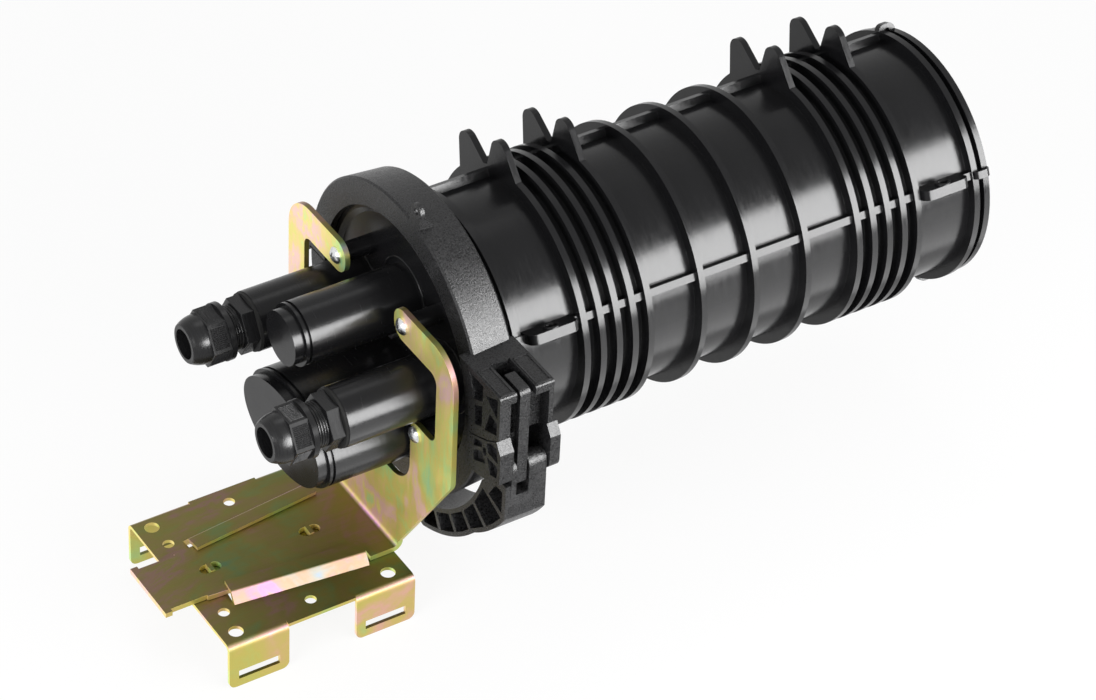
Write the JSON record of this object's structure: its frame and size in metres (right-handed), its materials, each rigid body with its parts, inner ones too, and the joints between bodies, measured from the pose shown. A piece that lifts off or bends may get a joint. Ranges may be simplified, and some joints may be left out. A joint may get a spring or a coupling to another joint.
{
  "type": "fibre splice closure",
  "caption": "dome fibre splice closure with ribbed cover, latch clamp ring, ported base head, cable glands and a slide-on sheet metal bracket for mast or wall",
  "frame": {"origin": "centre of the mounting plate's four corner holes, on the plate's underside", "axes": "+X runs along the closure to the closed end of the dome, +Z is the normal of the mounting plate away from the mast, +Y is away from the latch"},
  "size_m": [0.4747, 0.2106, 0.242],
  "materials": {
    "shell": "moulded black, satin",
    "clamp": "fine-grained dark grey glass-filled plastic",
    "gland": "moulded black polyamide",
    "rubber": "black elastomer",
    "zinc_sheet": "steel sheet, zinc plated with yellow iridescent passivation",
    "bright_zinc": "bright zinc plated steel",
    "stainless": "stainless steel, turned",
    "frame_metal": "aluminium sheet, plain",
    "tray": "moulded light grey",
    "holder": "moulded blue",
    "cover": "clear polycarbonate"
  },
  "bodies": {
    "mount": {"mounting_plate": "zinc_sheet"},
    "closure": {"bracket": "zinc_sheet", "bracket_screw_1": "bright_zinc", "bracket_screw_2": "bright_zinc", "bracket_screw_3": "bright_zinc", "bracket_screw_4": "bright_zinc", "base_head": "shell", "dome": "shell", "head_seal": "rubber", "gland_a_washer": "rubber", "gland_a_seal": "rubber", "gland_b_washer": "rubber", "gland_b_seal": "rubber", "gland_a_body": "gland", "gland_b_body": "gland", "clamp_upper": "clamp", "clamp_lower": "clamp", "clamp_hinge_pin": "stainless", "latch_pivot_pins": "stainless", "frame_screw_1": "stainless", "frame_screw_2": "stainless", "clamp_screw_a": "stainless", "clamp_screw_b": "stainless", "earth_stud": "stainless", "earth_nut": "stainless", "inner_frame": "frame_metal", "splice_tray_1": "tray", "splice_tray_2": "tray", "splice_tray_3": "tray", "tray_tower": "tray", "splice_holder_1": "holder", "splice_holder_2": "holder", "splice_holder_3": "holder", "strength_clamp_a": "holder", "strength_clamp_b": "holder", "tray_cover": "cover"},
    "lever": {"latch_lever": "clamp", "latch_link_pin": "stainless"},
    "link": {"latch_link": "clamp"},
    "cap_nut_a": {"gland_a_nut": "gland"},
    "cap_nut_b": {"gland_b_nut": "gland"}
  },
  "joints": [
    {"name": "closure_slide", "type": "slide", "parent": "mount", "child": "closure", "axis": [1, 0, 0], "range_m": [0, 0.105]},
    {"name": "latch_hinge", "type": "hinge", "parent": "closure", "child": "lever", "pos_m": [0.085, -0.106, 0.107], "axis": [-1, 0, 0], "range_deg": [0, 100]},
    {"name": "link_hinge", "type": "hinge", "parent": "lever", "child": "link", "pos_m": [0.085, -0.10421, 0.09818], "axis": [-1, 0, 0], "range_deg": [-84, 0]},
    {"name": "cap_nut_a_turn", "type": "hinge", "parent": "closure", "child": "cap_nut_a", "pos_m": [-0.013, 0.0435, 0.12], "axis": [1, 0, 0], "continuous": true},
    {"name": "cap_nut_b_turn", "type": "hinge", "parent": "closure", "child": "cap_nut_b", "pos_m": [-0.013, -0.0435, 0.12], "axis": [1, 0, 0], "continuous": true}
  ],
  "couplings": [
    {"joint": "link_hinge", "follows": "latch_hinge", "ratio": -0.84}
  ]
}
